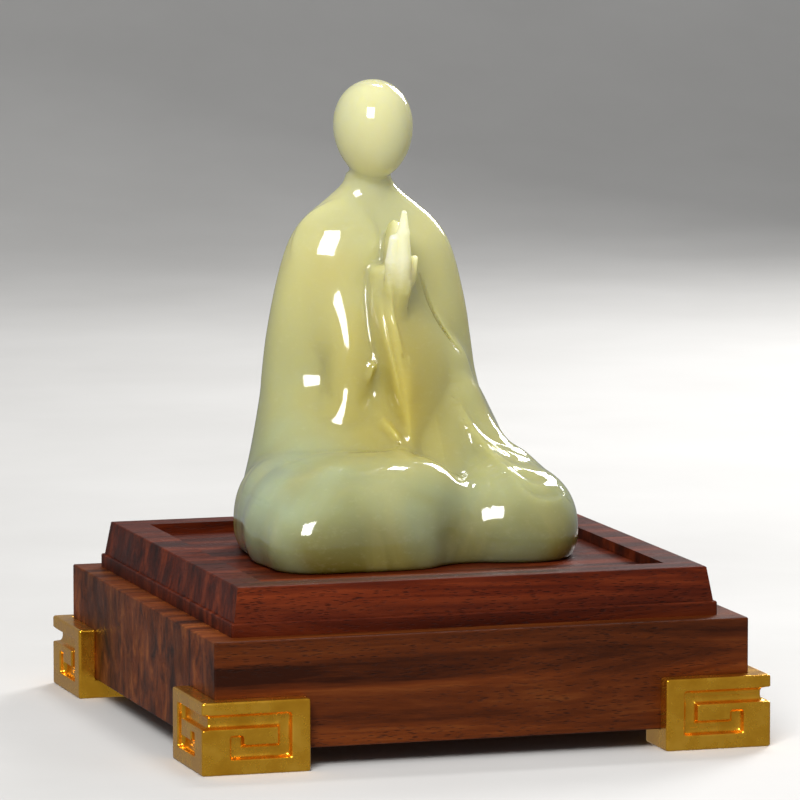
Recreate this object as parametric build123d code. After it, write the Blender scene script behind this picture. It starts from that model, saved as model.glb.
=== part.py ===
"""Jade figure in seated meditation on a two-tier hardwood stand with gilt fret feet.

Frame: millimetres, +Z up, X across the front, the figure faces -Y.
The origin is on the table, under the middle of the stand.
"""

import os

from build123d import *

# ---------------------------------------------------------------- driving dimensions
base_width = 150.0  # lower tier, square in plan
base_height = 29.4
base_rise = 5.4  # gap between the table and the lower tier
edge_round = 0.5  # worn arris on the hardwood edges

tray_width = 132.0  # upper tier, measured across its top rim
tray_height = 13.1
tray_lean = 1.5  # how far each sloping side leans out towards its foot
tray_band_height = 3.8  # plain band under the sloping side
tray_band_step = 0.9
rim_width = 9.0
recess_depth = 3.0

plank_width = 37.5  # both tiers are glued up from planks that run along X

foot_leg = 29.9  # length of each leg of a corner foot, from its outer corner
foot_height = 19.6
foot_wall = 4.8
fret_depth = 2.2
fret_top_bar = 3.5
fret_end_bar = 5.2
fret_base_bar = 4.1
fret_groove = 3.7
fret_tip_start = 7.8  # where the spiral's last run turns up
fret_tip_height = 10.4

screw_radius = 1.5
screw_head_radius = 2.9
screw_head_height = 1.7
foot_screw_length = 15.0
foot_screw_offset = 11.0  # from the lower tier's sides to the screw's axis
foot_screw_near = 5.5
tier_screw_radius = 2.0
tier_screw_head_radius = 3.9
tier_screw_head_height = 2.4
tier_screw_grip = 13.0  # hardwood left between the screw head and the upper tier
tier_screw_bite = 7.0  # how far the screw enters the upper tier
tier_screw_x = 40.0
tier_screw_y = 52.0
screw_clearance = 0.05  # radial gap round every screw

figure_x = -0.3  # the figure's plane of symmetry
head_centre = (figure_x, 26.0, 116.3)  # heights of the figure are above the tray floor
head_radii = (11.6, 12.3, 14.0)
neck_radius = 5.6
sleeve_top = 79.0
fingertip_height = 95.6

# ---------------------------------------------------------------- derived sizes
half_base = base_width / 2
base_top = base_rise + base_height
half_tray = tray_width / 2
tray_foot_half = half_tray + tray_lean + tray_band_step
tray_top = base_top + tray_height
tray_floor = tray_top - recess_depth
foot_corner = half_base + foot_wall
big = 400.0  # larger than anything here, for cutting tools


def box_between(low, high):
    """A block from its lowest to its highest corner."""
    size = [h - l for l, h in zip(low, high)]
    middle = [(h + l) / 2 for l, h in zip(low, high)]
    return Pos(*middle) * Box(*size)


def ellipsoid(centre, radii):
    """An ellipsoid with its half sizes along X, Y and Z."""
    return Pos(*centre) * scale(Sphere(1), by=radii)


# ---------------------------------------------------------------- stand
def base_block():
    """The whole lower tier before it is divided into planks."""
    block = box_between((-half_base, -half_base, base_rise), (half_base, half_base, base_top))
    return fillet(block.edges(), edge_round)


def tray_block():
    """The whole upper tier: a band, sloping sides and a recessed floor."""
    band_top = base_top + tray_band_height
    slope_half = half_tray + tray_lean
    band = box_between(
        (-tray_foot_half, -tray_foot_half, base_top), (tray_foot_half, tray_foot_half, band_top)
    )
    band = fillet(band.edges().filter_by(Axis.Z) + band.edges().group_by(Axis.Z)[-1], edge_round)
    slope = loft(
        [
            Pos(0, 0, band_top) * Rectangle(2 * slope_half, 2 * slope_half),
            Pos(0, 0, tray_top) * Rectangle(tray_width, tray_width),
        ]
    )
    slope = fillet(slope.edges().group_by(Axis.Z)[-1], edge_round)
    inner = half_tray - rim_width
    recess = box_between((-inner, -inner, tray_floor), (inner, inner, tray_top + 1))
    return band + slope - recess


def plank_edges(half_width):
    """The glue lines across a tier, from its front edge to its back edge."""
    lines = [-half_width]
    while lines[-1] + 1.3 * plank_width < half_width:
        lines.append(lines[-1] + plank_width)
    return lines + [half_width]


def split_into_planks(block, half_width):
    """Cuts a tier along its glue lines into planks, front first."""
    lines = plank_edges(half_width)
    planks = []
    for front, back in zip(lines, lines[1:]):
        slab = box_between((-big, front, -big), (big, back, big))
        planks.append(block & slab)
    return planks


# ---------------------------------------------------------------- corner feet
def fret_outline():
    """Closed corners of the square spiral groove, as (along the leg, height)."""
    top = foot_height - fret_top_bar
    far = foot_leg - fret_end_bar
    low = fret_base_bar
    g = fret_groove
    return [
        (-1.0, top),
        (far, top),
        (far, low),
        (fret_tip_start, low),
        (fret_tip_start, fret_tip_height),
        (fret_tip_start + g, fret_tip_height),
        (fret_tip_start + g, low + g),
        (far - g, low + g),
        (far - g, top - g),
        (-1.0, top - g),
    ]


def fret_cutter():
    """The groove of the leg that runs along +X, its outer face on the plane Y = 0."""
    face = make_face(Polyline(*fret_outline(), close=True))
    corners = [v for v in face.vertices() if v.X > 0]
    face = fillet(corners, 0.7)
    plane = Plane(origin=(0, 0, 0), x_dir=(1, 0, 0), z_dir=(0, -1, 0))
    return extrude(plane * face, -fret_depth, taper=8)


def foot_blank():
    """One foot in its own corner: outer corner at the origin, legs along +X and +Y."""
    outer = box_between((0, 0, 0), (foot_leg, foot_leg, foot_height))
    seat = box_between((foot_wall, foot_wall, base_rise), (big, big, big))
    blank = outer - seat
    inner = foot_leg - 4.0
    clip = make_face(
        Polyline((foot_leg + 1, inner - 9), (inner - 9, foot_leg + 1), (foot_leg + 1, foot_leg + 1), close=True)
    )
    blank = blank - extrude(clip, base_rise)
    outside = [
        e
        for e in blank.edges()
        if e.center().X < 0.01 or e.center().Y < 0.01 or e.center().X > foot_leg - 0.01 or e.center().Y > foot_leg - 0.01
    ]
    return fillet(outside, 0.3)


def foot_screw_spots():
    """Screw axes in the foot's own corner, one under each leg."""
    near = foot_wall + foot_screw_near
    far = foot_wall + foot_screw_offset + foot_screw_near
    return [(far, near), (near, far)]


def countersunk_screw(length, radius, head_radius, head_height):
    """A wood screw pointing up, the flat of its head at Z = 0, with a cross recess."""
    head = Pos(0, 0, head_height / 2) * Cone(head_radius, radius, head_height)
    shank = Pos(0, 0, head_height + (length - head_height) / 2 - 1) * Cylinder(radius, length - head_height - 2)
    shank = shank + Pos(0, 0, length - 3.5) * Cylinder(radius, 1)
    tip = Pos(0, 0, length - 1.5) * Cone(radius, 0.2, 3)
    body = head + shank + tip
    slot = Box(head_radius * 1.1, 0.6, 1.8) + Box(0.6, head_radius * 1.1, 1.8)
    return body - slot


def screw_hole(length, radius, head_radius, head_height, clearance):
    """The countersunk hole that such a screw needs, a little larger all round."""
    head = Pos(0, 0, head_height / 2) * Cone(head_radius + clearance, radius + clearance, head_height)
    bore = Pos(0, 0, length / 2) * Cylinder(radius + clearance, length + 1)
    mouth = Pos(0, 0, -1) * Cylinder(head_radius + clearance, 2)
    return head + bore + mouth


def corner_place(turn):
    """Moves a foot from its own corner to one corner of the stand."""
    return Rot(0, 0, turn) * Pos(-foot_corner, -foot_corner, 0)


# ---------------------------------------------------------------- figure
def stack(sections):
    """A loft through level ellipses: height above the tray floor, half width, half depth, X, Y."""
    rings = []
    for height, wide, deep, x, y in sections:
        rings.append(Pos(x, y, tray_floor + height) * Ellipse(wide, deep))
    return loft(rings)


def cloak():
    """The bell of the cloak from its hem to the neck."""
    outline = [
        # height, half width, half depth, Y
        (0, 39.8, 22.0, 29.0),
        (12, 39.4, 21.6, 29.2),
        (24, 36.8, 20.7, 29.4),
        (36, 33.3, 19.4, 29.7),
        (48, 30.7, 17.4, 30.6),
        (60, 29.1, 15.8, 31.3),
        (73, 26.6, 14.4, 31.3),
        (80, 24.7, 13.6, 31.2),
        (86, 22.3, 12.4, 31.2),
        (91, 18.6, 10.1, 31.4),
        (95, 14.0, 8.1, 31.5),
        (98, 10.2, 7.0, 31.4),
        (102, neck_radius + 1.0, neck_radius + 0.8, 31.0),
        (106, neck_radius, neck_radius, 30.0),
        (110, neck_radius, neck_radius, 29.0),
    ]
    return stack([(height, wide, deep, figure_x, y) for height, wide, deep, y in outline])


def head():
    """A plain, faceless egg, bowed a little."""
    x, y, height = head_centre
    return Pos(x, y, tray_floor + height) * Rot(6, 0, 0) * scale(Sphere(1), by=head_radii)


def legs():
    """The crossed legs under the robe: near knee and shin, its foot, far knee, hip and lap."""
    volumes = [
        ((-16.0, -5.0, 7.0), (27.0, 28.0, 22.0)),
        ((-32.0, -13.0, 8.0), (14.0, 19.5, 14.0)),
        ((1.0, -11.5, 15.0), (11.5, 14.5, 13.0)),
        ((27.0, -5.0, 7.5), (21.0, 23.5, 19.0)),
        ((24.0, -14.0, 7.5), (17.0, 15.0, 12.0)),
        ((-20.0, 12.0, 8.5), (24.0, 20.0, 21.5)),
        ((2.0, 9.0, 11.5), (26.0, 21.0, 16.5)),
    ]
    return [ellipsoid((x, y, tray_floor + height), radii) for (x, y, height), radii in volumes]


def limb(start, end, radius_start, radius_end):
    """A tapering round limb between two points, heights above the tray floor, with round ends."""
    a = Vector(start[0], start[1], tray_floor + start[2])
    b = Vector(end[0], end[1], tray_floor + end[2])
    plane = Plane(origin=a, z_dir=(b - a).normalized())
    rings = [plane * Circle(radius_start), plane.offset((b - a).length) * Circle(radius_end)]
    return loft(rings) + Pos(a) * Sphere(radius_start) + Pos(b) * Sphere(radius_end)


def sleeves():
    """The joined sleeves in front, the near upper arm and the cloak's fall from the far elbow."""
    fall = stack(
        [
            (12, 25.0, 20.0, 3.0, 16.0),
            (30, 20.0, 15.0, 3.0, 14.0),
            (48, 15.5, 11.5, 2.5, 14.0),
            (60, 12.0, 10.0, 1.5, 13.5),
            (72, 8.5, 8.5, 1.2, 13.0),
            (sleeve_top, 6.0, 7.0, 1.0, 13.0),
        ]
    )
    return [
        fall,
        limb((-12, 12, 43), (-9.8, 25, 72), 6.8, 6.8),
        limb((20.5, 5, 29), (17, 17, 49), 7.4, 7.2),
        limb((28, -2, 20), (20.5, 5, 29), 9.0, 7.6),
    ]


def hands():
    """Two palms pressed together, fingers up, and the stone left between them and the chest."""
    palms = stack(
        [
            (66, 4.2, 6.0, 1.0, 8.5),
            (74, 4.0, 6.0, 1.0, 7.5),
            (84, 3.0, 5.0, 1.1, 5.5),
            (91, 2.0, 2.8, 1.2, 3.0),
            (fingertip_height, 0.8, 1.0, 1.2, 1.8),
        ]
    )
    return [palms, ellipsoid((1.6, 12.0, tray_floor + 79.0), (2.8, 10.0, 13.0))]


def jade_figure():
    """One carving: every volume is joined, then the underside is cut flat."""
    carving = cloak() + head()
    for piece in legs() + sleeves() + hands():
        carving = carving + piece
    under = box_between((-big, -big, -big), (big, big, tray_floor))
    return carving - under


# ---------------------------------------------------------------- assembly
def tier_screw_places():
    """Four screws driven up from under the lower tier into the upper one."""
    height = base_top - tier_screw_grip - tier_screw_head_height
    return [Pos(x, y, height) for x in (-tier_screw_x, tier_screw_x) for y in (-tier_screw_y, tier_screw_y)]


def build():
    """Every node as name: shape."""
    foot_screw = (foot_screw_length, screw_radius, screw_head_radius, screw_head_height)
    tier_length = tier_screw_head_height + tier_screw_grip + tier_screw_bite
    tier_screw = (tier_length, tier_screw_radius, tier_screw_head_radius, tier_screw_head_height)
    foot_recess = 0.4  # the heads sit this far inside the foot's underside

    foot_hole = screw_hole(*foot_screw, screw_clearance)
    foot_screws, holes = [], []
    feet = {}
    blank = foot_blank()
    groove = fret_cutter()
    mirrored = mirror(groove, about=Plane(origin=(0, 0, 0), z_dir=(1, -1, 0)))
    blank = blank - groove - mirrored
    for x, y in foot_screw_spots():
        blank = blank - Pos(x, y, foot_recess) * foot_hole
    for name, turn in (("front_left", 0), ("front_right", 90), ("back_right", 180), ("back_left", 270)):
        place = corner_place(turn)
        feet[f"corner_foot_{name}"] = place * blank
        for x, y in foot_screw_spots():
            spot = place * Pos(x, y, foot_recess)
            foot_screws.append(spot * countersunk_screw(*foot_screw))
            holes.append(spot * foot_hole)

    base = base_block()
    tray = tray_block()
    tier_screws = []
    tier_hole = screw_hole(*tier_screw, screw_clearance)
    for place in tier_screw_places():
        tier_screws.append(place * countersunk_screw(*tier_screw))
        well = Pos(0, 0, -big / 2) * Cylinder(tier_screw_head_radius + screw_clearance, big)
        base = base - place * tier_hole - place * well
        tray = tray - place * tier_hole
    for hole in holes:
        base = base - hole

    nodes = {"jade_figure": jade_figure()}
    names = ("front", "mid_front", "mid_back", "back")
    for name, plank in zip(names, split_into_planks(base, half_base)):
        nodes[f"base_plank_{name}"] = plank
    for name, plank in zip(names, split_into_planks(tray, tray_foot_half)):
        nodes[f"tray_plank_{name}"] = plank
    nodes.update(feet)
    nodes["foot_screws"] = Compound(children=foot_screws)
    nodes["tier_screws"] = Compound(children=tier_screws)
    return nodes


def main():
    os.makedirs("parts", exist_ok=True)
    for name, shape in build().items():
        export_step(shape, f"parts/{name}.step")


main()
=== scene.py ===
"""Looks for the jade figure on its two-tier hardwood stand.

The carving and the cast feet are modelled as smooth distance fields, in millimetres, and meshed
here; the planks and screws keep their CAD meshes. Heights written as h are above the tray floor.
"""

from math import cos, pi, radians, sin

import bpy
import numpy as np
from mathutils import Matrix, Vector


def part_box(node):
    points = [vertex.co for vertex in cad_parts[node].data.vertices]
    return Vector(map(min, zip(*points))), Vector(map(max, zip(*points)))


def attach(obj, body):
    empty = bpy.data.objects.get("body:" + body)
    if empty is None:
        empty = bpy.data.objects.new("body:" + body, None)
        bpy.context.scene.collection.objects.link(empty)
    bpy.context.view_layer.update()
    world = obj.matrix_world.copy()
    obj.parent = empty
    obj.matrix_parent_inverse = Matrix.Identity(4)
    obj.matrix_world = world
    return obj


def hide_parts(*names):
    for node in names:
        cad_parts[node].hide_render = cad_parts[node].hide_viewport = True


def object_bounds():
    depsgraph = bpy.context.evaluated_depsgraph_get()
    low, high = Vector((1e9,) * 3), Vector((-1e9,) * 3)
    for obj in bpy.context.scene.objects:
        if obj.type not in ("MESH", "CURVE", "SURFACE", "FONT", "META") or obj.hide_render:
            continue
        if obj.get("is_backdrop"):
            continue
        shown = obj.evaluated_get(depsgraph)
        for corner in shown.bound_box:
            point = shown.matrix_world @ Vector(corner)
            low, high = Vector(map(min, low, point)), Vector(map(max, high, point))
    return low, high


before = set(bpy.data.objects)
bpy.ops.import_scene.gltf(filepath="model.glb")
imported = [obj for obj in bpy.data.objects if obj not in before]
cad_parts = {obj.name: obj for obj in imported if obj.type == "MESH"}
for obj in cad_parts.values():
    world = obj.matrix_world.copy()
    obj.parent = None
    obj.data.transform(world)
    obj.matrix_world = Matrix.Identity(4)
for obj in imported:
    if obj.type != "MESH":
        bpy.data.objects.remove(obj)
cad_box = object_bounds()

import openvdb
from mathutils import Matrix, Vector

MM = 0.001
tray_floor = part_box("jade_figure")[0].z / MM  # the level that the figure sits on

sculpt_step = 0.65  # mesh size on the carving
foot_step = 0.4  # and on a corner foot


# ---------------------------------------------------------------- distance fields
def smooth_union(a, b, soft):
    """The nearer of two fields, with their join rounded over about that many millimetres."""
    h = np.clip(0.5 + 0.5 * (b - a) / soft, 0, 1)
    return b + (a - b) * h - soft * h * (1 - h)


def smooth_cut(a, b, soft):
    """What is inside both fields, with a rounded edge."""
    return -smooth_union(-a, -b, soft)


def spline(knots, values):
    """A natural cubic through the values, level beyond the first and last knots."""
    t = np.asarray(knots, float)
    v = np.asarray(values, float)
    n = len(t)
    step = np.diff(t)
    system = np.eye(n)
    right = np.zeros(n)
    for i in range(1, n - 1):
        system[i, i - 1 : i + 2] = step[i - 1], 2 * (step[i - 1] + step[i]), step[i]
        right[i] = 6 * ((v[i + 1] - v[i]) / step[i] - (v[i] - v[i - 1]) / step[i - 1])
    bend = np.linalg.solve(system, right)

    def value(at):
        at = np.clip(at, t[0], t[-1])
        i = np.clip(np.searchsorted(t, at) - 1, 0, n - 2)
        w = step[i]
        back, ahead = t[i + 1] - at, at - t[i]
        curve = (bend[i] * back**3 + bend[i + 1] * ahead**3) / (6 * w)
        line = (v[i] / w - bend[i] * w / 6) * back + (v[i + 1] / w - bend[i + 1] * w / 6) * ahead
        return curve + line

    return value


def turned(p, centre, tilt=0.0, turn=0.0):
    """Points seen from a body's own axes: moved to its centre, turned about Z, then tilted about X."""
    x, y, h = (p[i] - centre[i] for i in range(3))
    c, s = cos(radians(turn)), sin(radians(turn))
    x, y = c * x + s * y, c * y - s * x
    c, s = cos(radians(tilt)), sin(radians(tilt))
    return x, c * y + s * h, c * h - s * y


def rounded_body(p, centre, radii, tilt=0.0, turn=0.0, square=2.0):
    """An ellipsoid, squarer when the power is above 2; a pair gives an axis two radii, back and ahead."""
    q = turned(p, centre, tilt, turn)
    n = square
    reach = [np.where(q[i] < 0, r[0], r[1]) if isinstance(r, tuple) else r for i, r in enumerate(radii)]
    terms = [np.abs(q[i] / reach[i]) for i in range(3)]
    size = (terms[0] ** n + terms[1] ** n + terms[2] ** n) ** (1 / n)
    slope = np.sqrt(sum((terms[i] ** (n - 1) / reach[i]) ** 2 for i in range(3)))
    slope = np.maximum(slope * np.maximum(size, 1e-3) ** (1 - n), 1e-3)
    return (size - 1) / slope


def round_limb(p, start, end, radius_start, radius_end):
    """A round bar with round ends whose thickness changes evenly along it."""
    a, b = np.asarray(start, float), np.asarray(end, float)
    along = b - a
    r = [p[i] - a[i] for i in range(3)]
    t = np.clip(sum(r[i] * along[i] for i in range(3)) / (along @ along), 0, 1)
    off = np.sqrt(sum((r[i] - t * along[i]) ** 2 for i in range(3)))
    return off - (radius_start + (radius_end - radius_start) * t)


def round_path(p, points, radii, soft=1.0):
    """Round bars joined end to end."""
    field = None
    for (a, ra), (b, rb) in zip(zip(points, radii), list(zip(points, radii))[1:]):
        bar = round_limb(p, a, b, ra, rb)
        field = bar if field is None else smooth_union(field, bar, soft)
    return field


def curve_points(points, count=24):
    """Points along a smooth curve through a few, evenly spread by chord."""
    pts = np.asarray(points, float)
    t = np.concatenate([[0], np.cumsum(np.linalg.norm(np.diff(pts, axis=0), axis=1))])
    at = np.linspace(0, t[-1], count)
    return np.stack([spline(t, pts[:, i])(at) for i in range(pts.shape[1])], axis=1)


def crease(p, points, above, rise, fall, height, reach=12.0):
    """How far a fold lifts the surface: a lip along a curve, gentle on one side and steep on the other.

    above is the direction, across the curve, of the gentle side; rise and fall are the widths of the
    gentle and the steep side. A height below zero cuts a groove instead.
    """
    line = curve_points(points)
    lift = np.zeros(p[0].shape)
    low, high = line.min(axis=0) - reach, line.max(axis=0) + reach
    near = np.ones(p[0].shape, bool)
    for i in range(3):
        near &= (p[i] > low[i]) & (p[i] < high[i])
    if not near.any():
        return lift
    q = [p[i][near] for i in range(3)]
    best = np.full(q[0].shape, 1e9)
    side = np.zeros(q[0].shape)
    where = np.zeros(q[0].shape)
    above = np.asarray(above, float) / np.linalg.norm(above)
    steps = len(line) - 1
    for k in range(steps):
        a, along = line[k], line[k + 1] - line[k]
        r = [q[i] - a[i] for i in range(3)]
        t = np.clip(sum(r[i] * along[i] for i in range(3)) / (along @ along), 0, 1)
        off = [r[i] - t * along[i] for i in range(3)]
        distance = np.sqrt(sum(o * o for o in off))
        closer = distance < best
        best = np.where(closer, distance, best)
        side = np.where(closer, sum(off[i] * above[i] for i in range(3)), side)
        where = np.where(closer, (k + t) / steps, where)
    width = np.where(side > 0, rise, fall)
    fade = np.sin(pi * np.clip(where, 0.02, 0.98)) ** 0.5
    lift[near] = height * fade * np.exp(-((best / width) ** 2))
    return lift


# ---------------------------------------------------------------- the carving
axis_x = -0.3  # the figure's plane of symmetry

# the cloak, bottom to top: height, half width, front, back, and how square (2 is an ellipse)
cloak_sections = (
    (0, 39.8, -7.0, 51, 2.4),
    (8, 39.8, -7.0, 51, 2.4),
    (16, 38.8, -6.5, 50.8, 2.4),
    (24, 36.8, -5.0, 50.2, 2.4),
    (32, 34.5, 1.0, 49.4, 2.4),
    (36, 33.3, 5.2, 49.0, 2.4),
    (40, 32.2, 9.0, 48.6, 2.4),
    (44, 31.3, 12.2, 48.3, 2.4),
    (46, 31.0, 13.5, 48.2, 2.4),
    (48, 30.7, 14.45, 48.1, 2.4),
    (52, 30.2, 15.3, 47.9, 2.4),
    (58, 29.4, 15.7, 47.6, 2.4),
    (65, 28.3, 16.2, 46.4, 2.4),
    (73, 26.6, 16.8, 45.7, 2.4),
    (80, 24.7, 17.7, 44.8, 2.5),
    (86, 22.3, 19.2, 43.6, 2.5),
    (91, 18.6, 21.7, 41.6, 2.4),
    (95, 14.0, 23.4, 39.6, 2.3),
    (98, 10.2, 24.4, 38.4, 2.2),
    (101, 7.2, 24.8, 37.4, 2.1),
    (105, 6.1, 25, 37, 2.0),
)

# the joined sleeves in front: height, the crest's x, half width on its near and far side, front,
# and how square the near side is
sleeve_sections = (
    (20, 2.5, 4.4, 34, -4.6, 2.0),
    (30, 2.2, 4.2, 34, -2.8, 2.1),
    (42, 1.6, 4.2, 33, -0.6, 2.3),
    (53, 0.8, 4.6, 31.5, 1.9, 2.6),
    (59, 0.3, 5.0, 29, 3.8, 3),
    (66, 0, 5.6, 23, 6.2, 3.2),
    (70, 0, 5.6, 20.5, 7.6, 3.2),
    (76, 0, 5.0, 19, 9.4, 3.2),
    (81, 0, 4.6, 18.5, 10.6, 3.2),
)
sleeve_backs = 57  # far inside the cloak
far_sleeve_power = 1.25  # sharper than round, so the far side slants back from the crest

# the near arm under the cloak, up from the elbow: height, middle, half width, front and back
arm_sections = (
    (24, -12.5, 4, 15, 25),
    (30, -12.5, 5.2, 12.5, 24),
    (35, -12.8, 5.8, 9, 22),
    (39, -12.6, 6.0, 7.4, 21),
    (45, -11.4, 6.2, 8.4, 22),
    (54, -10.2, 6.8, 10, 24),
    (64, -9.7, 7, 13.2, 27.5),
    (74, -9.8, 6.8, 18.6, 32.5),
    (84, -9.8, 6, 24, 36),
)
arm_crisp_height = 48  # where the cloak hangs in most sharply beside the arm


def stacked(sections):
    """The field of a body built of sections stacked up an outline.

    A section is its height, the x of its middle, its half width on the near and the far side, its
    front, its back, and the power that shapes its front on each side: 2 is an ellipse, more is squarer
    and less is sharper.
    """
    heights, *tables = zip(*sections)
    curves = [spline(heights, values) for values in tables]
    near_edge, far_edge, front_edge = curves[1:4]
    climb = 0.5  # the step upward that the outline's slope is taken over

    def field(p):
        h = p[2]
        middle, near, far, front, back, near_n, far_n = (curve(h) for curve in curves)
        x, y = p[0] - middle, p[1] - (front + back) / 2
        wide = np.where(x < 0, near, far)
        widen = np.where(x < 0, near_edge(h + climb) - near, far_edge(h + climb) - far)
        rake = front_edge(h + climb) - front
        deep = (back - front) / 2
        n = np.where(y > 0, 2.0, np.where(x < 0, near_n, far_n))
        along = np.maximum(np.abs(x) / wide, 1e-6)
        across = np.maximum(np.abs(y) / deep, 1e-6)
        size = np.maximum((along**n + across**n) ** (1 / n), 1e-3)
        slope = np.hypot(along ** (n - 1) / wide, across ** (n - 1) / deep) * size ** (1 - n)
        upward = (np.abs(widen) * along + np.abs(rake) * across * (y < 0)) / (climb * size)
        return (size - 1) / np.maximum(slope, 1e-3) / np.sqrt(1 + upward**2)

    return field


cloak = stacked([(h, axis_x, wide, wide, front, back, n, n) for h, wide, front, back, n in cloak_sections])
arm = stacked([(h, x, wide, wide, front, back, 2, 2) for h, x, wide, front, back in arm_sections])
sleeves = stacked(
    [
        (h, crest, near, far, front, sleeve_backs, n, far_sleeve_power)
        for h, crest, near, far, front, n in sleeve_sections
    ]
)


def bell(p):
    """The cloak, from its hem to the neck."""
    return smooth_cut(cloak(p), p[2] - 104.0, 1.0)


def apron(p):
    """Both forearms and their sleeves, one swelling mass that narrows up to the wrists."""
    front = smooth_cut(sleeves(p), p[1] - 18.0 - 0.1 * (p[2] - 50), 2.0)
    return smooth_cut(front, p[2] - 79.5 - 0.1 * p[0], np.clip(2.5 + 0.5 * p[0], 2.5, 6.0))


def head(p):
    """A plain egg, a little wider above, on a short neck."""
    x, y, h = turned(p, (axis_x, 26.0, 116.3), tilt=-9)
    full = 14.0
    swell = 1 + 0.08 * np.clip(h / full, -1, 1)
    size = np.sqrt((x / (11.1 * swell)) ** 2 + (y / (11.8 * swell)) ** 2 + (h / full) ** 2)
    egg = (size - 1) * 11.5
    neck = round_limb(p, (axis_x, 30.2, 96), (axis_x, 29.2, 108), 5.7, 5.2)
    return smooth_union(egg, neck, 2.5)


def full_cloak(p):
    """The cloak with a flatter, fuller place below the near shoulder."""
    shoulder = rounded_body(p, (-12.0, 24.4, 85.3), (10.5, 2.5, 9.8), tilt=-21, turn=-24)
    return smooth_union(bell(p), shoulder, 3.0)


def upper_arm(p):
    """The near arm under the cloak, a long low ridge that ends at the elbow."""
    return smooth_cut(arm(p), p[2] - 86.0, 1.0)


def hand(p):
    """Joined palms with the fingers up, the near edge of one hand and a thumb's knuckle."""
    fingers = round_path(
        p,
        [(1.3, 10.5, 64), (1.6, 7.6, 73), (1.8, 5.4, 82), (1.8, 4.2, 89), (1.8, 3.5, 94.7)],
        [3.0, 2.9, 2.4, 1.8, 0.8],
        0.3,
    )
    edge = round_path(p, [(0.1, 8.2, 73), (-0.9, 6.1, 81), (-0.7, 5.0, 87.4)], [2.3, 2.0, 1.4], 0.3)
    web = rounded_body(p, (2.1, 13, 79), (2.6, 9, 13))
    knuckle = round_limb(p, (5.8, 6.8, 81.6), (4.2, 8.4, 76), 1.0, 2.6)
    joined = smooth_union(smooth_union(fingers, edge, 1.0), web, 2.0)
    return smooth_union(joined, knuckle, 1.2)


def near_leg(p):
    """The leg folded in front: a round knee, the shin across and the foot at its end."""
    knee = round_path(p, [(-33.5, -21, 7), (-33.5, -6, 9), (-32, 8, 10)], [11.5, 12.5, 12.5], 3)
    shin = rounded_body(p, (-14, -4, 6), ((27, 23), (28.5, 26), (14, 23)), square=3.0)
    foot = rounded_body(p, (0.5, -11.5, 15), ((22, 11.0), 14, 13), square=2.4)
    return smooth_union(smooth_union(knee, shin, 7.0), foot, 6.0)


def far_leg(p):
    """The other knee, out to the side."""
    knee = rounded_body(p, (27, -5, 7), ((17, 21), (23, 24), (14, 19)), square=2.3)
    front = round_limb(p, (20, -13.2, 7), (32, -17.6, 6.5), 11.5, 10.5)
    ankle = rounded_body(p, (9.5, -9, 6), (10, 14.8, 15), square=2.3)
    return smooth_union(smooth_union(knee, front, 5.0), ankle, 5.0)


def robe(p):
    """The robe's layer between the cloak and the near knee, and the lap."""
    hip = rounded_body(p, (-20, 12, 8), ((24, 20), (20, 20), (14, 22)), square=2.4)
    lap = rounded_body(p, (2, 8, 11), ((26, 26), (21, 22), (14, 17)), square=2.4)
    return smooth_union(hip, lap, 4.0)


def drape(p):
    """The cloak's fall from the far elbow over the far knee."""
    return round_path(p, [(18, 20, 49), (20, 16, 38), (23, 11, 29), (29, 3, 21)], [7, 7.6, 7.6, 9], 5)


def drawn_folds(p, folds, deepest):
    """Folds drawn as a front view, x and height, on what lies in front of a depth.

    A fold is its line, the direction of its gentle side, the widths of that side and the other, and
    its height.
    """
    fading = 3  # they die away over this depth
    front = np.clip((deepest - p[1]) / fading, 0, 1)
    flat = (p[0], np.zeros_like(p[1]), p[2])
    lift = 0
    for line, above, rise, fall, height in folds:
        curve = [(x, 0, h) for x, h in line]
        lift = lift + crease(flat, curve, above, rise, fall, height)
    return lift * front


def sleeve_folds(p):
    """Folds down the front of the sleeves."""
    left, right = (-1, 0, 0), (1, 0, 0)
    folds = [
        ([(-4, 71), (-3.5, 63), (-1.5, 51), (0, 40)], left, 1.4, 0.7, 0.7),
        ([(-2, 76), (-0.5, 64), (1, 56)], left, 1.8, 0.7, 0.9),
        ([(4, 76), (3, 71)], right, 1.5, 0.6, 0.5),
        ([(-5, 53), (-7, 47)], (-1, 0, 0.6), 1.5, 0.7, 0.7),
        ([(-4.5, 37.5), (-1, 32)], (-1, 0, 0.8), 1.5, 0.8, 0.8),
        ([(3, 52), (2, 42)], right, 3.0, 1.5, 0.4),
    ]
    return drawn_folds(p, folds, deepest=16)


def knee_fan():
    """Four folds that fan out from the lap over the far knee, each lower and fainter than the last."""
    fan = []
    for rank in range(4):
        start = (19 + 2 * rank, 41 - 6 * rank)
        end = (35 + 2 * rank, 26 - 3 * rank)
        sag = ((start[0] + end[0]) / 2 - 3, (start[1] + end[1]) / 2 - 2)
        fan.append(([start, sag, end], (-0.4, 0, -0.5), 2.5, 0.8, 0.9 - 0.1 * rank))
    return fan


def knee_folds(p):
    """The folds over both knees, and the groove where the far sleeve leaves the cloak."""
    down = (0, 0, -1)
    lips = [
        ([(-44, 18), (-38, 24), (-32, 27)], down, 1.6, 0.8, 0.5),
        ([(-36, 24), (-24, 28), (-9, 30)], down, 1.7, 1.0, 0.4),
    ]
    groove = ([(11, 76), (14, 67), (22, 54)], down, 0.45, 0.45, -0.9)
    return drawn_folds(p, knee_fan() + lips, deepest=14) + drawn_folds(p, [groove], deepest=22)


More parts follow.
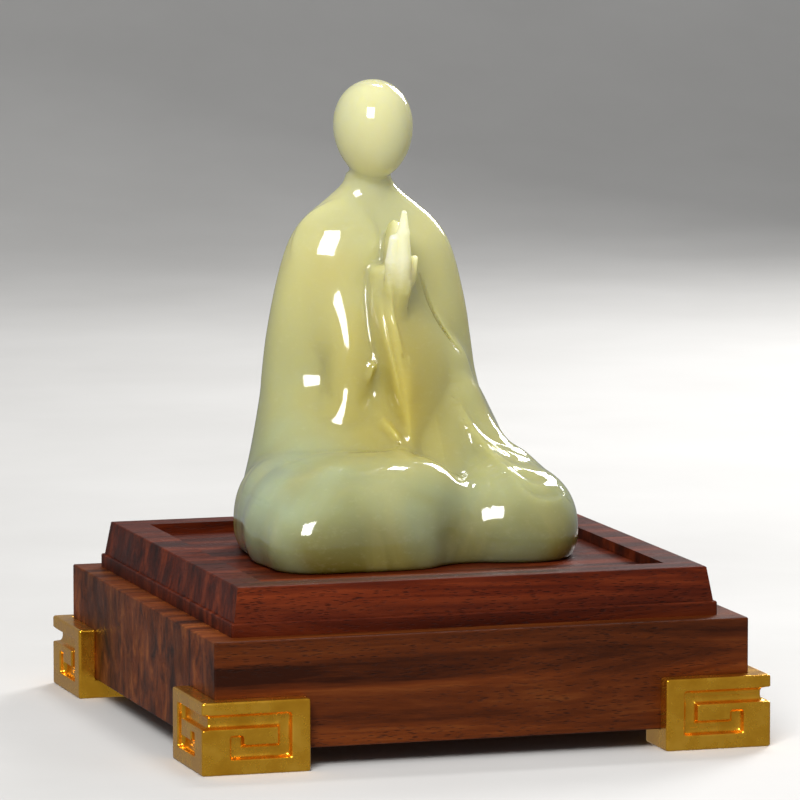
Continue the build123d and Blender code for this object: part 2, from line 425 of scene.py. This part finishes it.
def carving(p):
    """The whole figure."""
    arm_join = np.clip(0.5 * np.abs(p[2] - arm_crisp_height), 2.0, 5.0)
    body = smooth_union(full_cloak(p), upper_arm(p), arm_join)
    far_side = smooth_union(far_leg(p), drape(p), 7.0)
    legs = smooth_union(smooth_union(near_leg(p), far_side, 7.0), robe(p), 1.5)
    body = smooth_union(body, legs, np.clip(2.2 + 0.15 * p[0], 1.0, 4.5))
    # the sleeves' join is crisp near the wrists and grows softer down to the lap
    crisp = 1.5 + np.clip((66 - p[2]) * 0.45, 0, 6.5) * np.clip((5 - p[0]) / 8, 0.1, 1)
    crisp += np.clip((46 - p[2]) * 0.4, 0, 6) * np.clip((p[0] - 5) / 6, 0, 1)
    front = smooth_union(apron(p), hand(p), 1.2)
    body = smooth_union(body, front, crisp)
    body = smooth_union(body, head(p), 1.2) - sleeve_folds(p) - knee_folds(p)
    return smooth_cut(body, -p[2], 1.2)


# ---------------------------------------------------------------- meshing
def sampled(field, low, high, step, band=4):
    """The field on a grid, worked out in full only near the surface."""
    counts = [int(np.ceil((high[i] - low[i]) / (step * band))) + 2 for i in range(3)]
    axes = [low[i] + step * band * np.arange(counts[i]) for i in range(3)]
    coarse = field(np.meshgrid(*axes, indexing="ij"))
    fine = coarse
    for axis in range(3):
        fine = np.repeat(fine, band, axis=axis)
    margin = 2.2 * step * band  # a coarse cell's diagonal, and a little more
    spots = np.nonzero(np.abs(fine) < margin)
    points = [low[i] + step * spots[i] for i in range(3)]
    fine = fine.astype(np.float32)
    fine[spots] = field(points)
    return fine


def gradient(field, points, reach=0.05):
    """The field's slope along each axis, by differences."""
    slopes = []
    for axis in range(3):
        ahead = [c + (reach if i == axis else 0) for i, c in enumerate(points)]
        back = [c - (reach if i == axis else 0) for i, c in enumerate(points)]
        slopes.append((field(ahead) - field(back)) / (2 * reach))
    return np.stack(slopes, axis=1)


def surface(field, low, high, step):
    """The field's surface as points drawn onto it exactly, quads, and true normals."""
    grid = openvdb.FloatGrid(background=3 * step)
    grid.copyFromArray(sampled(field, low, high, step))
    points, quads = grid.convertToQuads(isovalue=0.0)
    points = points.astype(float) * step + np.asarray(low)
    gentlest = 0.05  # keeps a flat place in the field from throwing a point far
    for _ in range(3):
        slope = gradient(field, points.T)
        steep = np.maximum((slope**2).sum(1), gentlest)
        move = slope * (field(points.T) / steep)[:, None]
        longest = np.linalg.norm(move, axis=1, keepdims=True)
        points -= move * np.minimum(1, 0.5 * step / np.maximum(longest, 1e-9))
    slope = gradient(field, points.T)
    return points, quads, slope / np.linalg.norm(slope, axis=1, keepdims=True)


def piece_from(name, skin, place):
    """An object with that surface, moved to its place in the frame."""
    points, quads, normals = skin
    turn = np.array(place.to_3x3())
    mesh = bpy.data.meshes.new(name)
    mesh.from_pydata((points @ turn.T * MM + np.array(place.translation)).tolist(), [], quads.tolist())
    mesh.polygons.foreach_set("use_smooth", [True] * len(mesh.polygons))
    mesh.validate()
    mesh.update()
    mesh.normals_split_custom_set_from_vertices((normals @ turn.T).tolist())
    piece = bpy.data.objects.new(name, mesh)
    bpy.context.scene.collection.objects.link(piece)
    return piece


def make_figure():
    """The carving, meshed inside a box a little larger than itself."""
    skin = surface(carving, (-50, -40, -1.5), (52, 55, 132), sculpt_step)
    figure = piece_from("jade_carving", skin, Matrix.Translation((0, 0, tray_floor * MM)))
    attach(figure, "figure")
    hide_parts("jade_figure")
    return figure


# ---------------------------------------------------------------- the corner feet
foot_low, foot_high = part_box("corner_foot_front_left")
foot_leg = (foot_high.x - foot_low.x) / MM
foot_height = (foot_high.z - foot_low.z) / MM
base_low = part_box("base_plank_front")[0]
foot_wall = (base_low.x - foot_low.x) / MM
base_rise = base_low.z / MM
foot_chamfer = 13.0  # off the inner corner of the plate that passes under the base
fret_width = 3.7
fret_depth = 2.2
fret_top_bar = 3.5  # the metal left around the groove
fret_end_bar = 5.2
fret_base_bar = 4.1
fret_tip_start = 7.8  # where the spiral's inner end stands
fret_tip_height = 10.4
past_corner = -9  # the groove runs on round the foot's outer corner


def slab(v, low, high):
    """How far a value is outside a range; negative inside it."""
    return np.maximum(low - v, v - high)


def block(p, low, high, soft):
    """A box with rounded edges."""
    sides = [slab(p[i], low[i], high[i]) for i in range(3)]
    return smooth_cut(smooth_cut(sides[0], sides[1], soft), sides[2], soft)


def fret(along, height):
    """How far a point on a leg's face is from the edge of the square spiral groove; negative inside."""
    half = fret_width / 2
    top = foot_height - fret_top_bar - half
    far = foot_leg - fret_end_bar - half
    low = fret_base_bar + half
    tip = fret_tip_start + half
    runs = [
        (slab(along, past_corner, far + half), slab(height, top - half, top + half)),
        (slab(along, far - half, far + half), slab(height, low - half, top + half)),
        (slab(along, tip - half, far + half), slab(height, low - half, low + half)),
        (slab(along, tip - half, tip + half), slab(height, low - half, fret_tip_height)),
    ]
    field = None
    for across, up in runs:
        run = smooth_cut(across, up, 0.9)
        field = run if field is None else np.minimum(field, run)
    return field


def foot(p):
    """A foot in its own corner: outer corner at the origin, legs along +X and +Y."""
    x, y, z = p
    beyond = 99  # past the foot on every side
    outer = block(p, (0, 0, 0), (foot_leg, foot_leg, foot_height), 0.7)
    seat = block(p, (foot_wall, foot_wall, base_rise), (beyond, beyond, beyond), 0.2)
    body = smooth_cut(outer, -seat, 0.3)
    clip = (x + y - (2 * foot_leg - foot_chamfer)) * 0.7071
    body = smooth_cut(body, clip, 0.5)
    for along, deep in ((x, y), (y, x)):
        groove = smooth_cut(fret(along, z), slab(deep, -5, fret_depth), 1.6)
        body = smooth_cut(body, -groove, 0.5)
    return body


def make_feet():
    """One foot's surface, placed at each corner and turned to suit it."""
    corners = {"front_left": 0, "front_right": 90, "back_right": 180, "back_left": 270}
    feet = []
    high = (foot_leg + 1, foot_leg + 1, foot_height + 1)
    skin = surface(foot, (-1, -1, -1), high, foot_step)
    for corner, turn in corners.items():
        place = Matrix.Rotation(radians(turn), 4, "Z") @ Matrix.Translation((foot_low.x, foot_low.y, 0))
        feet.append(piece_from("gilt_foot_" + corner, skin, place))
        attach(feet[-1], "stand")
        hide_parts("corner_foot_" + corner)
    return feet


# ---------------------------------------------------------------- materials
class Surface:
    """A material's node tree, with the few kinds of node that these finishes are built from."""

    def __init__(self, name):
        self.material = bpy.data.materials.new(name)
        self.material.use_nodes = True
        self.tree = self.material.node_tree
        self.shader = self.tree.nodes["Principled BSDF"]
        self.place = self.tree.nodes.new("ShaderNodeTexCoord").outputs["Object"]

    def set(self, **values):
        for name, value in values.items():
            self.shader.inputs[name.replace("_", " ")].default_value = value

    def link(self, source, name):
        self.tree.links.new(source, self.shader.inputs[name])

    def stretched(self, scale, turn=(0, 0, 0), source=None):
        """Object coordinates, in metres, scaled differently along each axis."""
        node = self.tree.nodes.new("ShaderNodeMapping")
        node.inputs["Scale"].default_value = scale
        node.inputs["Rotation"].default_value = turn
        self.tree.links.new(source or self.place, node.inputs["Vector"])
        return node.outputs["Vector"]

    def noise(self, where, scale=1.0, detail=4.0, rough=0.5, distort=0.0):
        node = self.tree.nodes.new("ShaderNodeTexNoise")
        node.inputs["Scale"].default_value = scale
        node.inputs["Detail"].default_value = detail
        node.inputs["Roughness"].default_value = rough
        node.inputs["Distortion"].default_value = distort
        self.tree.links.new(where, node.inputs["Vector"])
        return node.outputs["Fac"]

    def cells(self, where, scale=1.0):
        node = self.tree.nodes.new("ShaderNodeTexVoronoi")
        node.inputs["Scale"].default_value = scale
        self.tree.links.new(where, node.inputs["Vector"])
        return node.outputs["Distance"]

    def axis(self, name):
        node = self.tree.nodes.new("ShaderNodeSeparateXYZ")
        self.tree.links.new(self.place, node.inputs["Vector"])
        return node.outputs[name]

    def distance(self, point):
        """How far the surface is from a point, in metres."""
        node = self.tree.nodes.new("ShaderNodeVectorMath")
        node.operation = "DISTANCE"
        node.inputs[1].default_value = point
        self.tree.links.new(self.place, node.inputs[0])
        return node.outputs["Value"]

    def ranged(self, source, low, high, to_low=0.0, to_high=1.0):
        node = self.tree.nodes.new("ShaderNodeMapRange")
        for name, value in zip(("From Min", "From Max", "To Min", "To Max"), (low, high, to_low, to_high)):
            node.inputs[name].default_value = value
        self.tree.links.new(source, node.inputs["Value"])
        return node.outputs["Result"]

    def ramp(self, source, stops):
        node = self.tree.nodes.new("ShaderNodeValToRGB")
        bar = node.color_ramp
        while len(bar.elements) < len(stops):
            bar.elements.new(0.5)
        for element, (at, colour) in zip(bar.elements, stops):
            element.position = at
            element.color = (*colour, 1)
        self.tree.links.new(source, node.inputs["Fac"])
        return node.outputs["Color"]

    def mixed(self, factor, a, b, blend="MIX"):
        """Colour b laid over a; each is a socket or a plain colour."""
        node = self.tree.nodes.new("ShaderNodeMix")
        node.data_type = "RGBA"
        node.blend_type = blend
        for name, source in (("Factor", factor), ("A", a), ("B", b)):
            socket = [i for i in node.inputs if i.name == name and i.enabled][0]
            if isinstance(source, bpy.types.NodeSocket):
                self.tree.links.new(source, socket)
            else:
                socket.default_value = source
        return [o for o in node.outputs if o.enabled][0]

    def arithmetic(self, kind, a, b):
        node = self.tree.nodes.new("ShaderNodeMath")
        node.operation = kind
        for socket, source in zip(node.inputs, (a, b)):
            if isinstance(source, bpy.types.NodeSocket):
                self.tree.links.new(source, socket)
            else:
                socket.default_value = source
        return node.outputs["Value"]

    def times(self, a, b):
        return self.arithmetic("MULTIPLY", a, b)

    def plus(self, a, b):
        return self.arithmetic("ADD", a, b)

    def bump(self, height, strength, depth, under=None):
        """Relief from a height texture, that many metres deep."""
        node = self.tree.nodes.new("ShaderNodeBump")
        node.inputs["Strength"].default_value = strength
        node.inputs["Distance"].default_value = depth
        self.tree.links.new(height, node.inputs["Height"])
        if under:
            self.tree.links.new(under, node.inputs["Normal"])
        return node.outputs["Normal"]


def jade_material():
    """Polished translucent jade: creamy above and darker olive towards the bottom, with greener clouds and
    fine flecks; painted shade darkens the recess over the lap and painted light brightens the hands.
    """
    jade = Surface("polished_jade")
    body = jade.ramp(
        jade.ranged(jade.axis("Z"), 0.045, 0.175),
        [
            (0.0, (0.13, 0.10, 0.008)),
            (0.13, (0.27, 0.28, 0.13)),
            (0.30, (0.36, 0.35, 0.15)),
            (0.58, (0.50, 0.46, 0.185)),
            (0.78, (0.55, 0.53, 0.28)),
            (1.0, (0.57, 0.56, 0.33)),
        ],
    )
    clouds = jade.noise(jade.place, scale=24, detail=3, rough=0.45, distort=0.6)
    cloudy = jade.ranged(clouds, 0.40, 0.70, 0.0, 0.8)
    low_down = jade.ranged(jade.axis("Z"), 0.062, 0.085, 1.0, 0.4)
    body = jade.mixed(jade.times(cloudy, low_down), body, (0.38, 0.46, 0.33, 1))
    warm_place = jade.stretched((1, 1, 0.6), (0.3, 0.5, 0.2))
    warm = jade.noise(warm_place, scale=33, detail=4, rough=0.55, distort=0.9)
    body = jade.mixed(jade.ranged(warm, 0.48, 0.74, 0.0, 0.35), body, (0.47, 0.41, 0.15, 1))
    # painted shade: a darker olive patch on the sleeves' lower front and the lap, where the recess between
    # them lies in shade
    lap = jade.ranged(jade.distance((0.0, -0.002, 0.088)), 0.006, 0.034, 0.75, 0.0)
    body = jade.mixed(lap, body, (0.42, 0.33, 0.05, 1))
    flecks = jade.noise(jade.stretched((1, 1, 1.8)), scale=420, detail=3, rough=0.7)
    body = jade.mixed(jade.ranged(flecks, 0.55, 0.85, 0.0, 0.08), body, (0.75, 0.74, 0.50, 1))
    # painted light: the joined hands are painted paler and creamier, where light shines through and off the
    # thin stone
    reach = jade.plus(jade.distance((0.0, 0.0, 0.131)), jade.times(flecks, 0.004))
    body = jade.mixed(jade.ranged(reach, 0.008, 0.016, 0.75, 0.0), body, (0.78, 0.77, 0.58, 1))
    jade.link(body, "Base Color")
    jade.set(IOR=1.6, Subsurface_Weight=1.0, Subsurface_Radius=(1.0, 0.9, 0.42), Subsurface_Scale=0.011)
    handling = jade.noise(jade.place, scale=90, detail=5, rough=0.6)
    jade.link(jade.ranged(handling, 0.3, 0.8, 0.045, 0.12), "Roughness")
    polish = jade.noise(jade.place, scale=110, detail=2, rough=0.4)
    jade.link(jade.bump(polish, 0.25, 0.0004), "Normal")
    return jade.material


def wood_material(name, dark, mid, light, seed):
    """Oiled hardwood with its grain along X: bands, fine figure, open pores and a little handling wear."""
    wood = Surface(name)
    grain = wood.stretched((7, 170, 90), (0.0, 0.0, 0.02 * seed))
    band_place = wood.stretched((2.2, 34, 26), (0.0, 0.03, 0.03 * seed))
    bands = wood.noise(band_place, detail=3, rough=0.5, distort=1.2)
    figure = wood.noise(grain, detail=7, rough=0.7, distort=0.5)
    colour = wood.ramp(wood.ranged(figure, 0.34, 0.68), [(0.0, dark), (0.5, mid), (1.0, light)])
    colour = wood.mixed(wood.ranged(bands, 0.42, 0.62, 0.0, 0.55), colour, (*dark, 1))
    pore_cells = wood.cells(wood.stretched((300, 4200, 2600)))
    pore_field = wood.noise(grain, scale=1.7, detail=2)
    pores = wood.times(wood.ranged(pore_cells, 0.14, 0.34, 1.0, 0.0), wood.ranged(pore_field, 0.36, 0.55))
    colour = wood.mixed(wood.times(pores, 0.7), colour, (dark[0] * 0.25, dark[1] * 0.25, dark[2] * 0.3, 1))
    wood.link(colour, "Base Color")
    polish = wood.noise(wood.place, scale=55, detail=5, rough=0.6)
    gloss = wood.plus(wood.ranged(polish, 0.3, 0.75, 0.38, 0.52), wood.times(pores, 0.25))
    wood.link(gloss, "Roughness")
    wood.set(IOR=1.45, Specular_IOR_Level=0.15)
    fine = wood.bump(figure, 0.35, 0.00025)
    wood.link(wood.bump(wood.times(pores, -1.0), 0.6, 0.0003, under=fine), "Normal")
    return wood.material


def gilt_material():
    """Cast metal with a satin gilt finish, duller and redder in patches, with faint casting grain."""
    gilt = Surface("satin_gilt")
    wear = gilt.noise(gilt.place, scale=140, detail=5, rough=0.6)
    colour = gilt.ramp(
        gilt.ranged(wear, 0.3, 0.75),
        [(0.0, (0.82, 0.38, 0.022)), (0.5, (0.92, 0.46, 0.035)), (1.0, (1.0, 0.54, 0.06))],
    )
    gilt.link(colour, "Base Color")
    gilt.set(Metallic=0.95)
    gilt.link(gilt.ranged(wear, 0.3, 0.8, 0.20, 0.36), "Roughness")
    grain = gilt.noise(gilt.place, scale=1500, detail=3, rough=0.6)
    gilt.link(gilt.bump(grain, 0.15, 0.00015), "Normal")
    return gilt.material


def steel_material():
    """Plain zinc-plated screw steel with turning marks and grime in patches."""
    steel = Surface("screw_steel")
    grime = steel.noise(steel.place, scale=600, detail=4, rough=0.6)
    shades = [(0.0, (0.22, 0.21, 0.19)), (1.0, (0.55, 0.55, 0.53))]
    colour = steel.ramp(steel.ranged(grime, 0.35, 0.7), shades)
    steel.link(colour, "Base Color")
    steel.set(Metallic=1.0)
    steel.link(steel.ranged(grime, 0.3, 0.8, 0.45, 0.25), "Roughness")
    marks = steel.noise(steel.stretched((2500, 2500, 300)), detail=2)
    steel.link(steel.bump(marks, 0.2, 0.0001), "Normal")
    return steel.material


def floor_material():
    """Pale seamless paper with a faint mottle."""
    paper = Surface("pale_floor")
    mottle = paper.noise(paper.place, scale=6, detail=6, rough=0.55)
    paper.link(paper.ramp(mottle, [(0.3, (0.50, 0.49, 0.475)), (0.7, (0.56, 0.55, 0.535))]), "Base Color")
    paper.set(Roughness=0.7)
    fibre = paper.noise(paper.place, scale=900, detail=3)
    paper.link(paper.bump(fibre, 0.1, 0.0002), "Normal")
    return paper.material


def dress(piece, material):
    """Gives a piece that material alone."""
    piece.data.materials.clear()
    piece.data.materials.append(material)


# ---------------------------------------------------------------- the room
view_azimuth = -17.23  # degrees
view_elevation = 6.95
view_distance = 1.8275
view_target = Vector((-0.0005, 0.0, 0.0880))
view_lens = 296.9
lamp_target = Vector((0, 0, 0.1))


def toward(azimuth, elevation):
    """A unit vector away from the object: azimuth 0 is its front, and positive turns toward +X."""
    a, e = radians(azimuth), radians(elevation)
    return Vector((sin(a) * cos(e), -cos(a) * cos(e), sin(e)))


def make_camera():
    camera = bpy.data.objects.new("camera", bpy.data.cameras.new("camera"))
    bpy.context.scene.collection.objects.link(camera)
    back = toward(view_azimuth, view_elevation)
    camera.location = view_target + back * view_distance
    camera.rotation_mode = "QUATERNION"
    camera.rotation_quaternion = (-back).to_track_quat("-Z", "Y")
    camera.data.lens = view_lens
    camera.data.sensor_width = 36.0
    camera.data.clip_start = 0.05
    camera.data.clip_end = 50
    bpy.context.scene.camera = camera


def make_light(name, azimuth, elevation, distance, width, height, power):
    """A soft box that faces the object, at that distance from it."""
    lamp = bpy.data.lights.new(name, "AREA")
    lamp.shape = "RECTANGLE"
    lamp.size = width
    lamp.size_y = height
    lamp.energy = power
    light = bpy.data.objects.new(name, lamp)
    bpy.context.scene.collection.objects.link(light)
    away = toward(azimuth, elevation)
    light.location = lamp_target + away * distance
    light.rotation_mode = "QUATERNION"
    light.rotation_quaternion = away.to_track_quat("Z", "Y")
    return light


def make_floor():
    """A pale sweep: flat under the object, curving up far behind it."""
    reach, rise, bend = 3.0, 2.2, 0.9
    flat_end = 1.2
    steps = 16
    outline = [(-reach, 0.0), (flat_end, 0.0)]
    for k in range(1, steps + 1):
        angle = (pi / 2) * k / steps
        outline.append((flat_end + bend * sin(angle), bend * (1 - cos(angle))))
    outline.append((flat_end + bend, rise))
    verts = []
    for y, z in outline:
        verts += [(-reach, y, z), (reach, y, z)]
    faces = [(2 * i, 2 * i + 1, 2 * i + 3, 2 * i + 2) for i in range(len(outline) - 1)]
    mesh = bpy.data.meshes.new("floor")
    mesh.from_pydata(verts, [], faces)
    mesh.polygons.foreach_set("use_smooth", [True] * len(mesh.polygons))
    floor = bpy.data.objects.new("floor", mesh)
    bpy.context.scene.collection.objects.link(floor)
    floor.visible_glossy = False
    dress(floor, floor_material())
    floor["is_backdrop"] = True


def make_room():
    make_floor()
    world = bpy.data.worlds.new("room")
    bpy.context.scene.world = world
    world.use_nodes = True
    world.node_tree.nodes["Background"].inputs["Color"].default_value = (0.86, 0.88, 0.9, 1)
    world.node_tree.nodes["Background"].inputs["Strength"].default_value = 0.30
    make_light("key_softbox", -29.8, 35.6, 1.2, 0.45, 0.5, 15)
    make_light("rim_softbox", 137, 25, 1.2, 0.35, 0.47, 9.5)
    fill = make_light("top_softbox", 10, 80, 1.3, 0.9, 0.9, 7)
    fill.visible_glossy = False
    make_light("hair_strip", 152, 58, 1.2, 0.30, 0.12, 4)
    bpy.context.scene.view_settings.view_transform = "Standard"


def write_sizes():
    boxes = {"cad": cad_box, "visual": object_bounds()}
    plain = {name: [list(corner) for corner in box] for name, box in boxes.items()}


make_camera()
make_room()
dress(make_figure(), jade_material())
gilt = gilt_material()
for piece in make_feet():
    dress(piece, gilt)
rosewood = ((0.016, 0.002, 0.0005), (0.080, 0.009, 0.001), (0.20, 0.032, 0.006))
walnut = ((0.022, 0.004, 0.0005), (0.14, 0.028, 0.003), (0.28, 0.080, 0.013))
tray_wood = wood_material("rosewood_tray", *rosewood, seed=1)
base_wood = wood_material("walnut_base", *walnut, seed=2)
steel = steel_material()
for name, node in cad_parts.items():
    if name.startswith("tray_plank"):
        dress(node, tray_wood)
    elif name.startswith("base_plank"):
        dress(node, base_wood)
    elif name.endswith("_screws"):
        dress(node, steel)
write_sizes()
